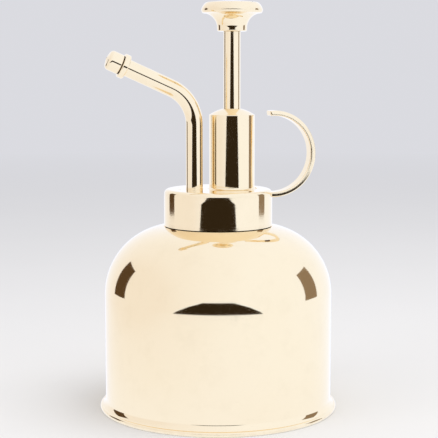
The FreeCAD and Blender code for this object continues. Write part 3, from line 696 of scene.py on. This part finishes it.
@dataclass
class Reservoir(SubAssembly):
    """The domed tank and its base plate."""

    wall: float = 1.0 * MM
    flare: float = 2.1 * MM
    rim_thickness: float = 1.8 * MM
    cove: float = 3.2 * MM
    neck_hole: float = 17.22 * MM
    dish: float = 0.45 * MM
    margin: float = 6.0 * MM
    dish_run: float = 2.0 * MM
    dish_bend: float = 6.0 * MM
    blend: float = 1.1 * MM
    steps: int = 192

    def build(self) -> None:
        """Models and dresses the tank."""
        extent = Extent.of("reservoir_shell")
        axis = Axis(Vector((0.0, 0.0, 0.0)))
        self.build_shell(extent, axis)
        self.build_plate(axis)

    def build_shell(self, extent: Extent, axis: Axis) -> None:
        """Spins the tank's wall: rolled rim, cove, straight side and round shoulder."""
        rim = extent.radius
        side = rim - self.flare
        top = extent.high.z
        shoulder = side - self.neck_hole
        side_top = top - shoulder
        rim_round = self.rim_thickness / 2
        cove_start = rim - rim_round
        cove_run = self.cove - (cove_start - side)
        cove_top = self.rim_thickness + math.sqrt(self.cove**2 - cove_run**2)
        inside = side - self.wall
        outline = Outline(inside, 0.0)
        outline.to(cove_start, 0.0)
        outline.arc(rim, rim_round, rim_round)
        outline.arc(cove_start, self.rim_thickness, rim_round)
        outline.arc(side, cove_top, self.cove, left=False)
        outline.to(side, side_top - self.blend)
        outline.to(side, side_top)
        outline.arc(self.neck_hole, top, shoulder)
        outline.to(self.neck_hole, top - self.wall)
        outline.arc(inside, side_top, shoulder - self.wall, left=False)
        shell = Bench.spun("tank_shell", outline, axis, self.steps)
        Bench.eased(shell, 0.12 * MM, 2)
        # the belts put painted shade at the foot on the floor and at the neck under the collar, together
        # with wear
        bands = (WearAndShadeBand(0.0, 2.4 * MM), WearAndShadeBand(top, 1.5 * MM, 0.6))
        self.settle(shell, "reservoir_shell", "reservoir", PolishedBrass("brass_tank", bands=bands))

    def build_plate(self, axis: Axis) -> None:
        """Spins the base plate, dished inside its flat margin."""
        plate = Extent.of("base_plate")
        thick = plate.high.z
        edge = plate.radius
        margin = edge - self.margin
        outline = Outline(0.0, self.dish)
        outline.to(margin - self.dish_run, self.dish)
        outline.arc(margin, 0.0, self.dish_bend, left=False)
        outline.to(edge, 0.0)
        outline.to(edge, thick)
        outline.to(0.0, thick)
        disc = Bench.spun("tank_base", outline, axis, self.steps)
        Bench.eased(disc, 0.15 * MM, 2)
        # painted shade where the plate meets the floor, together with wear
        finish = PolishedBrass("brass_base", bands=(WearAndShadeBand(0.0, 0.6 * MM),), gloss=0.12, ripple=0.05)
        self.settle(disc, "base_plate", "reservoir", finish)


@dataclass
class ScrewCap(SubAssembly):
    """The collar that screws on the neck."""

    wall: float = 1.0 * MM
    roof: float = 1.2 * MM
    corner: float = 1.6 * MM
    skirt: float = 0.2 * MM
    roll: float = 2.4 * MM
    roll_depth: float = 0.09 * MM
    vent: float = 0.525 * MM
    hole_gap: float = 0.1 * MM
    vent_x: float = -15.0 * MM
    steps: int = 192

    def build(self) -> None:
        """Spins the collar and bores its roof."""
        extent = Extent.of("cap_collar")
        outer = extent.radius
        low = extent.low.z - self.skirt
        top = extent.high.z
        outline = Outline(outer - self.wall, low)
        outline.to(outer, low)
        outline.to(outer, top - self.corner - self.roll)
        roll_bend = ball_radius(self.roll, 0.0, self.roll_depth)
        outline.arc(outer - self.roll_depth, top - self.corner, roll_bend)
        outline.arc(outer - self.corner, top, self.corner)
        outline.to(0.0, top)
        outline.to(0.0, top - self.roof)
        outline.to(outer - self.wall, top - self.roof)
        collar = Bench.spun("screw_collar", outline, Axis(Vector((0.0, 0.0, 0.0))), self.steps)
        pump = Extent.of("pump_cylinder")
        gland = Extent.of("gland_plug")
        spout = Extent.of("spout_tube")
        spout_x = spout.high.x - spout.radius
        middle = top - self.roof / 2
        for x, radius in (
            (pump.middle.x, gland.radius + self.hole_gap),
            (spout_x, spout.radius + self.hole_gap),
            (self.vent_x, self.vent),
        ):
            Bench.bored(collar, Vector((x, 0.0, middle)), radius, self.roof * 2)
        Bench.eased(collar, 0.1 * MM, 2)
        # painted shade at the skirt's edge on the dome, with wear there and at the roof's corner
        bands = (WearAndShadeBand(low, 1.6 * MM, 0.8), WearAndShadeBand(top - self.corner, 1.2 * MM, 0.5))
        finish = PolishedBrass("brass_collar", bands=bands, ripple=0.020)
        self.settle(collar, "cap_collar", "pump_head", finish)


@dataclass
class PumpBarrel(SubAssembly):
    """The upright barrel that the plunger slides in."""

    wall: float = 0.8 * MM
    foot: float = 0.8 * MM
    crown: float = 2.1 * MM
    rod_hole: float = 3.35 * MM
    steps: int = 144

    def build(self) -> None:
        """Spins the barrel: a coved foot, a straight side and a domed crown."""
        extent = Extent.of("pump_barrel")
        outer = extent.radius - self.foot
        low = extent.low.z
        top = extent.high.z
        shoulder = top - self.crown - self.foot / 2
        crown_edge = outer - self.foot / 2
        outline = Outline(outer - self.wall, low)
        outline.to(extent.radius, low)
        outline.arc(outer, low + self.foot, self.foot, left=False)
        outline.to(outer, shoulder)
        outline.arc(crown_edge, shoulder + self.foot / 2, self.foot / 2)
        outline.arc(self.rod_hole, top, ball_radius(crown_edge, self.rod_hole, self.crown))
        outline.to(self.rod_hole, shoulder)
        outline.to(outer - self.wall, shoulder - self.wall)
        barrel = Bench.spun("barrel_shell", outline, Axis(Vector((extent.middle.x, 0.0, 0.0))), self.steps)
        Bench.eased(barrel, 0.12 * MM, 2)
        # painted shade at the foot on the collar's roof, with wear there and at the crown
        bands = (WearAndShadeBand(low, 1.0 * MM, 0.7), WearAndShadeBand(top, 1.2 * MM, 0.7))
        finish = PolishedBrass("brass_barrel", bands=bands, ripple=0.012)
        self.settle(barrel, "pump_barrel", "pump_head", finish)


@dataclass
class Plunger(SubAssembly):
    """The sliding rod and the thumb knob on its end."""

    neck: float = 5.6 * MM
    neck_edge: float = 0.5 * MM
    sweep: float = 5.6 * MM
    lip: float = 4.6 * MM
    waist_share: float = 0.22
    crown_share: float = 0.84
    crown_drop_share: float = 0.14
    stud_share: float = 0.7
    fit: float = 0.02 * MM
    steps: int = 144

    def build(self) -> None:
        """Models the rod and the knob."""
        rod = Extent.of("plunger_rod")
        knob = Extent.of("thumb_knob")
        axis = Axis(Vector((knob.middle.x, 0.0, 0.0)))
        self.build_rod(rod, knob, axis)
        self.build_knob(knob, axis)

    def build_rod(self, rod: Extent, knob: Extent, axis: Axis) -> None:
        """Spins the rod with its two reduced ends."""
        radius = rod.radius
        stud = radius / 2
        piston_top = Extent.of("piston").high.z
        outline = Outline(0.0, rod.low.z)
        outline.to(stud, rod.low.z)
        outline.to(stud, piston_top)
        outline.to(radius, piston_top)
        outline.to(radius, knob.low.z)
        outline.to(radius * self.stud_share, knob.low.z)
        outline.to(radius * self.stud_share, rod.high.z)
        outline.to(0.0, rod.high.z)
        piece = Bench.spun("rod", outline, axis, self.steps // 2)
        Bench.eased(piece, 0.08 * MM, 2)
        # painted shade where the rod goes in under the knob, together with wear
        bands = (WearAndShadeBand(knob.low.z, 3.0 * MM, 0.4),)
        finish = PolishedBrass("brass_rod", Grain.ALONG_Z, bands=bands, ripple=0.006)
        self.settle(piece, "plunger_rod", "plunger", finish)

    def build_knob(self, knob: Extent, axis: Axis) -> None:
        """Spins the knob: a short neck, a flaring sweep, a rounded lip and a low crown."""
        low = knob.low.z
        top = knob.high.z
        height = top - low
        bore = Extent.of("plunger_rod").radius * self.stud_share + self.fit
        lip_low = low + height - self.lip
        lip_inner = self.neck + self.sweep
        waist = lip_low + self.lip * self.waist_share
        crown_start = knob.radius * self.crown_share
        crown_drop = self.lip * self.crown_drop_share
        socket_top = low + height / 2 + self.fit
        outline = Outline(bore, low)
        outline.to(self.neck - self.neck_edge, low)
        outline.arc(self.neck, low + self.neck_edge, self.neck_edge)
        outline.to(self.neck, lip_low - self.sweep)
        outline.arc(lip_inner, lip_low, self.sweep, left=False)
        outline.to(knob.radius, waist)
        outline.arc(crown_start, top - crown_drop, self.lip)
        outline.arc(0.0, top, ball_radius(crown_start, 0.0, crown_drop))
        outline.to(0.0, socket_top)
        outline.to(bore, socket_top)
        piece = Bench.spun("knob", outline, axis, self.steps)
        Bench.eased(piece, 0.35 * MM, 3)
        bands = (WearAndShadeBand(top, 1.2 * MM, 0.8), WearAndShadeBand(waist, 1.0 * MM, 0.9))
        finish = PolishedBrass("brass_knob", bands=bands, ripple=0.010)
        self.settle(piece, "thumb_knob", "plunger", finish)


@dataclass
class Spout(SubAssembly):
    """The bent delivery tube, its end flange and the mist nozzle."""

    wall: float = 0.9 * MM
    bend: float = 15.0 * MM
    rise: float = 24.3 * MM
    slope: float = math.radians(24.2)
    run: float = 20.2 * MM
    flange: float = 4.6 * MM
    ring: float = 2.2 * MM
    seat: float = 1.76 * MM
    spigot: float = 3.0 * MM
    spigot_length: float = 3.8 * MM
    cap_radius: float = 3.75 * MM
    cap_gap: float = 0.3 * MM
    cap_length: float = 5.6 * MM
    orifice: float = 0.35 * MM
    fit: float = 0.02 * MM
    thread_gap: float = 0.05 * MM
    nose_gap: float = 0.35 * MM
    throat: float = 1.0 * MM
    edge_share: float = 0.18
    insert_share: float = 0.65
    insert_seat_share: float = 0.4
    nose_share: float = 0.42
    bend_steps: int = 40
    sides: int = 96
    radius: float = field(init=False)
    x: float = field(init=False)
    low: float = field(init=False)
    bend_low: float = field(init=False)
    away: Vector = field(init=False)
    axis: Axis = field(init=False)

    def build(self) -> None:
        """Models the tube, the flange and the cap."""
        tube = Extent.of("spout_tube")
        self.radius = tube.radius
        self.x = tube.high.x - tube.radius
        self.low = tube.low.z
        self.bend_low = Extent.of("cap_collar").high.z + self.rise
        self.away = Vector((-math.cos(self.slope), 0.0, math.sin(self.slope)))
        turn = Vector((math.sin(self.slope) - 1.0, 0.0, math.cos(self.slope)))
        tip = Vector((self.x, 0.0, self.bend_low)) + turn * self.bend + self.away * self.run
        self.axis = Axis(tip - self.away * self.seat, self.away)
        self.build_tube()
        self.build_flange()
        self.build_cap()

    def build_tube(self) -> None:
        """Draws the tube up, bends it and draws it out to the nozzle."""
        Bench.clear_selection()
        bpy.ops.mesh.primitive_circle_add(
            vertices=self.sides,
            radius=self.radius,
            fill_type="NOTHING",
            location=(self.x, 0.0, self.low),
        )
        piece = Bench.name_active("spout_pipe")
        bpy.ops.object.transform_apply(location=True, rotation=True, scale=True)
        bpy.ops.object.mode_set(mode="EDIT")
        bpy.ops.mesh.select_all(action="SELECT")
        bpy.ops.mesh.extrude_edges_move(
            TRANSFORM_OT_translate={"value": (0.0, 0.0, self.bend_low - self.low)}
        )
        bpy.ops.mesh.spin(
            steps=self.bend_steps,
            angle=math.pi / 2 - self.slope,
            use_auto_merge=False,
            center=(self.x - self.bend, 0.0, self.bend_low),
            axis=(0.0, 1.0, 0.0),
        )
        bpy.ops.mesh.extrude_edges_move(TRANSFORM_OT_translate={"value": self.away * self.run})
        Bench.close_up(piece)
        Bench.apply(piece, "SOLIDIFY", thickness=self.wall, offset=-1.0, use_even_offset=True)
        Bench.eased(piece, 0.08 * MM, 2)
        # painted shade where the tube leaves the collar's roof, together with wear
        bands = (WearAndShadeBand(Extent.of("cap_collar").high.z, 1.2 * MM, 0.8),)
        finish = PolishedBrass("brass_spout", Grain.ALONG_Z, bands=bands, ripple=0.010)
        self.settle(piece, "spout_tube", "pump_head", finish)

    def build_flange(self) -> None:
        """Spins the flange that is soldered on the tube's end, with the nozzle's spigot."""
        edge = self.ring * self.edge_share
        insert = self.spigot * self.insert_share + self.fit
        insert_seat = self.ring + self.spigot_length * self.insert_seat_share
        socket = self.radius + self.fit
        socket_end = self.seat + self.fit
        end = self.ring + self.spigot_length
        outline = Outline(socket, 0.0)
        outline.to(self.flange - edge, 0.0)
        outline.arc(self.flange, edge, edge)
        outline.to(self.flange, self.ring - edge)
        outline.arc(self.flange - edge, self.ring, edge)
        outline.to(self.spigot, self.ring)
        outline.to(self.spigot, end)
        outline.to(insert, end)
        outline.to(insert, insert_seat)
        outline.to(self.throat, insert_seat)
        outline.to(self.throat, socket_end)
        outline.to(socket, socket_end)
        piece = Bench.spun("nozzle_flange", outline, self.axis, self.sides)
        Bench.eased(piece, 0.08 * MM, 2)
        self.settle(piece, "nozzle_body", "pump_head", self.nozzle_finish("brass_flange"))

    def build_cap(self) -> None:
        """Spins the nozzle cap with its round nose and the mist hole's countersink."""
        start = self.ring + self.cap_gap
        end = start + self.cap_length
        chamfer = self.orifice / 2
        nose = self.cap_radius * self.nose_share
        nose_start = end - self.orifice - nose
        inside = self.ring + self.spigot_length + self.nose_gap
        bore = self.spigot + self.thread_gap
        outline = Outline(bore, start)
        outline.to(self.cap_radius - chamfer, start)
        outline.to(self.cap_radius, start + chamfer)
        outline.to(self.cap_radius, nose_start)
        outline.arc(self.cap_radius - nose, nose_start + nose, nose)
        crown = ball_radius(self.cap_radius - nose, self.orifice * 2, self.orifice)
        outline.arc(self.orifice * 2, end, crown)
        outline.to(self.orifice, end - self.orifice)
        outline.to(self.orifice, inside)
        outline.to(bore, inside)
        piece = Bench.spun("mist_cap", outline, self.axis, self.sides)
        Bench.eased(piece, 0.06 * MM, 2)
        self.settle(piece, "nozzle_cap", "nozzle", self.nozzle_finish("brass_mist_cap"))

    def nozzle_finish(self, name: str) -> PolishedBrass:
        """Polished brass whose buffing lines run round the nozzle."""
        return PolishedBrass(name, Grain.ROUND_Z, tilt=math.pi / 2 - self.slope, ripple=0.010)


@dataclass
class FingerRing(SubAssembly):
    """The bent strip for the finger, soldered between the barrel and the collar."""

    strip: float = 2.0 * MM
    edge: float = 0.45 * MM
    start: float = math.radians(97.0)
    sweep: float = math.radians(218.0)
    sunk: float = math.radians(1.0)
    steps: int = 120

    def build(self) -> None:
        """Bends the strip round its centre and eases its edges."""
        extent = Extent.of("finger_ring")
        radius = (extent.high.z - extent.low.z) / 2
        centre = Vector((extent.high.x - radius, 0.0, extent.high.z - radius))
        half_width = extent.radius
        first = self.start - self.sunk
        out = Vector((math.cos(first), 0.0, math.sin(first)))
        corners = [
            centre + out * (radius - depth) + Vector((0.0, side * half_width, 0.0))
            for depth, side in ((0.0, -1), (0.0, 1), (self.strip, 1), (self.strip, -1))
        ]
        piece = Bench.trace("finger_loop", corners, closed=True)
        bpy.ops.mesh.edge_face_add()
        bpy.ops.mesh.spin(
            steps=self.steps,
            angle=self.sweep,
            use_auto_merge=False,
            center=centre,
            axis=(0.0, -1.0, 0.0),
        )
        Bench.close_up(piece)
        Bench.eased(piece, self.edge, 4)
        finish = PolishedBrass("brass_ring", Grain.ROUND_Y, ripple=0.008)
        self.settle(piece, "finger_ring", "pump_head", finish)


class InnerWorks:
    """Nodes that keep their own solids and get a finish."""

    def build(self) -> None:
        """Dresses every node that no new piece stands for, by the record's material slots."""
        finishes = {
            "polished_brass": PolishedBrass("brass_inner").material(),
            "plain_brass": PlainBrass().material(),
            "white_plastic": WHITE_PLASTIC.material(),
            "clear_plastic": CLEAR_PLASTIC.material(),
            "black_rubber": BLACK_RUBBER.material(),
            "spring_steel": SpringSteel().material(),
        }
        slots = node_slots()
        for name, node in frame["nodes"].items():
            if node.hide_render:
                continue
            slot = slots[name]
            node.data.materials.clear()
            node.data.materials.append(finishes[slot])
            LOG.info("%s keeps its solid, finish %s", name, slot)


def node_slots() -> dict[str, str]:
    """Material slot of each node, from the record."""
    return {part["node"]: part["material_slot"] for part in frame["record"]["subparts"]}


# ------------------------------------------------------------------ studio
@dataclass(frozen=True)
class Card:
    """A plain four-cornered panel that only the polished metal sees.

    Angles are in degrees, as seen from the mister: bearings from the camera's side, elevations
    from the level. The panel is square to the bearing it faces and even about it.
    """

    name: str
    facing: float
    distance: float
    foot_reach: float
    top_reach: float
    foot: float
    top: float
    tone: Colour
    eye_height: float = 50 * MM

    def corners(self) -> list[Vector]:
        """The panel's corners, from its foot on one side round to its foot on the other."""
        angle = Studio.azimuth + math.radians(self.facing)
        out = Vector((math.sin(angle), -math.cos(angle), 0.0))
        side = Vector((math.cos(angle), math.sin(angle), 0.0))
        points = []
        for reach, elevation in (
            (-self.foot_reach, self.foot),
            (-self.top_reach, self.top),
            (self.top_reach, self.top),
            (self.foot_reach, self.foot),
        ):
            across = self.distance * math.tan(math.radians(reach))
            up = self.eye_height + self.distance * math.tan(math.radians(elevation))
            points.append(out * self.distance + side * across + Vector((0.0, 0.0, up)))
        return points

    def build(self) -> None:
        """Stands the panel up, facing the mister."""
        panel = Bench.trace(self.name, self.corners(), closed=True)
        bpy.ops.mesh.edge_face_add()
        bpy.ops.object.mode_set(mode="OBJECT")
        material, mixer = new_material(self.name)
        shader_output(
            mixer,
            mixer.node("ShaderNodeEmission", inputs={"Color": self.tone, "Strength": 1.0}),
        )
        panel.data.materials.append(material)
        panel.visible_camera = False
        panel.visible_diffuse = False
        panel.visible_shadow = False
        panel.visible_transmission = False


CARDS = (
    Card("front_opening", 0.0, 6.0, 45.0, 15.0, -14.0, 5.0, (0.030, 0.020, 0.010, 1.0)),
    Card("left_flag", -115.0, 1.0, 10.0, 10.0, -5.0, 25.0, (0.100, 0.060, 0.030, 1.0)),
    Card("right_flag", 105.0, 1.0, 10.0, 10.0, -5.0, 25.0, (0.300, 0.230, 0.170, 1.0)),
)


@dataclass
class Studio:
    """Camera, pale floor, white surroundings with three plain dark cards, and soft lights."""

    azimuth: float = math.radians(-14.75)
    pitch: float = math.radians(6.715)
    reach: float = 481.44 * MM
    height: float = 128.86 * MM
    lens: float = 104.85
    shift: float = 0.00205
    floor_size: float = 6.0
    table_radius: float = 280 * MM
    fade_reach: float = 1.6
    floor_tone: Colour = (0.80, 0.79, 0.77, 1.0)
    floor_shade: Colour = (0.75, 0.74, 0.72, 1.0)
    backdrop: Colour = (0.706, 0.709, 0.749, 1.0)
    tent_left: Colour = (0.975, 0.985, 1.08, 1.0)
    tent_right: Colour = (1.050, 1.130, 1.330, 1.0)

    def build(self) -> None:
        """Sets the whole studio up."""
        self.place_camera()
        self.lay_floor()
        self.surround()
        self.hang_lights()
        for card in CARDS:
            card.build()

    def place_camera(self) -> None:
        """Puts the camera a little above and to the left of the mister's front."""
        data = bpy.data.cameras.new("camera")
        data.lens = self.lens
        data.shift_x = self.shift
        data.clip_start = 10 * MM
        camera = bpy.data.objects.new("camera", data)
        bpy.context.scene.collection.objects.link(camera)
        camera.location = (
            math.sin(self.azimuth) * self.reach,
            -math.cos(self.azimuth) * self.reach,
            self.height,
        )
        camera.rotation_euler = (math.pi / 2 - self.pitch, 0.0, self.azimuth)
        bpy.context.scene.camera = camera

    def tent(self, mixer: Mixer, where: Signal, half_width: float) -> Signal:
        """The white that the metal sees, dimmer and warmer on the left.

        Args:
            mixer: the tree it is added to.
            where: a point or a direction.
            half_width: distance sideways at which the colour stops changing.

        Returns:
            The colour there.
        """
        side = (math.cos(self.azimuth) / half_width, math.sin(self.azimuth) / half_width, 0.0)
        across = mixer.node(
            "ShaderNodeVectorMath",
            {"operation": "DOT_PRODUCT"},
            {0: where, 1: side},
            "Value",
        )
        steps = [(0.08, 0.0), (0.20, 0.35), (0.45, 0.70), (0.70, 1.0)]
        return mixer.blend(mixer.ramp(across * 0.5 + 0.5, steps), self.tent_left, self.tent_right)

    def lay_floor(self) -> None:
        """A pale matt floor that fades into the backdrop and looks white in the brass."""
        Bench.clear_selection()
        bpy.ops.mesh.primitive_plane_add(size=self.floor_size)
        floor = Bench.name_active("floor")
        material, mixer = new_material("pale_floor")
        here = mixer.place()
        mottle = mixer.noise(here, 9.0, 4.0, 0.5)
        tone = mixer.blend(mottle * 0.4, self.floor_tone, self.floor_shade)
        matt = mixer.node("ShaderNodeBsdfDiffuse", inputs={"Color": tone})
        far = mixer.node("ShaderNodeEmission", inputs={"Color": self.backdrop, "Strength": 1.0})
        away = mixer.node("ShaderNodeVectorMath", {"operation": "LENGTH"}, {0: here}, "Value")
        fade = mixer.ramp(away / self.fade_reach, [(0.06, 0.0), (0.95, 1.0)])
        seen = mixer.node("ShaderNodeMixShader", inputs={0: fade, 1: matt, 2: far})
        white = mixer.node(
            "ShaderNodeEmission",
            inputs={"Color": self.tent(mixer, here, self.table_radius), "Strength": 1.0},
        )
        clear = mixer.node("ShaderNodeBsdfTransparent")
        beyond = mixer.maths("GREATER_THAN", away, self.table_radius)
        mirrored = mixer.node("ShaderNodeMixShader", inputs={0: beyond, 1: white, 2: clear})
        glossy = mixer.node("ShaderNodeLightPath", output="Is Glossy Ray")
        shader_output(mixer, mixer.node("ShaderNodeMixShader", inputs={0: glossy, 1: seen, 2: mirrored}))
        floor.data.materials.append(material)

    def surround(self) -> None:
        """A white world, brighter for the metal than for the camera."""
        world = bpy.data.worlds.new("tent")
        bpy.context.scene.world = world
        world.use_nodes = True
        mixer = Mixer(world.node_tree)
        glossy = mixer.node("ShaderNodeLightPath", output="Is Glossy Ray")
        toward = mixer.node("ShaderNodeTexCoord", output="Generated")
        colour = mixer.blend(glossy, self.backdrop, self.tent(mixer, toward, 1.0))
        light = mixer.node("ShaderNodeBackground", inputs={"Color": colour, "Strength": 1.0})
        mixer.node("ShaderNodeOutputWorld", inputs={"Surface": light})
        bpy.context.scene.view_settings.view_transform = "Standard"

    def hang_lights(self) -> None:
        """One broad softbox overhead and one weaker at the left."""
        for name, place, size, power in (
            ("softbox_top", (0.25, -0.25, 0.9), 0.9, 5.0),
            ("softbox_side", (-0.8, -0.3, 0.5), 0.6, 1.5),
        ):
            data = bpy.data.lights.new(name, "AREA")
            data.size = size
            data.energy = power
            lamp = bpy.data.objects.new(name, data)
            bpy.context.scene.collection.objects.link(lamp)
            lamp.location = place
            lamp.rotation_euler = Vector(place).to_track_quat("Z", "Y").to_euler()
            lamp.visible_glossy = False


def main() -> None:
    """Builds the studio and the mister."""
    logging.basicConfig(level=logging.INFO, format="%(message)s")
    assemblies = (
        Studio(), Reservoir(), ScrewCap(), PumpBarrel(), Plunger(), Spout(), FingerRing(), InnerWorks(),
    )
    for assembly in assemblies:
        assembly.build()


if __name__ == "__main__":
    main()
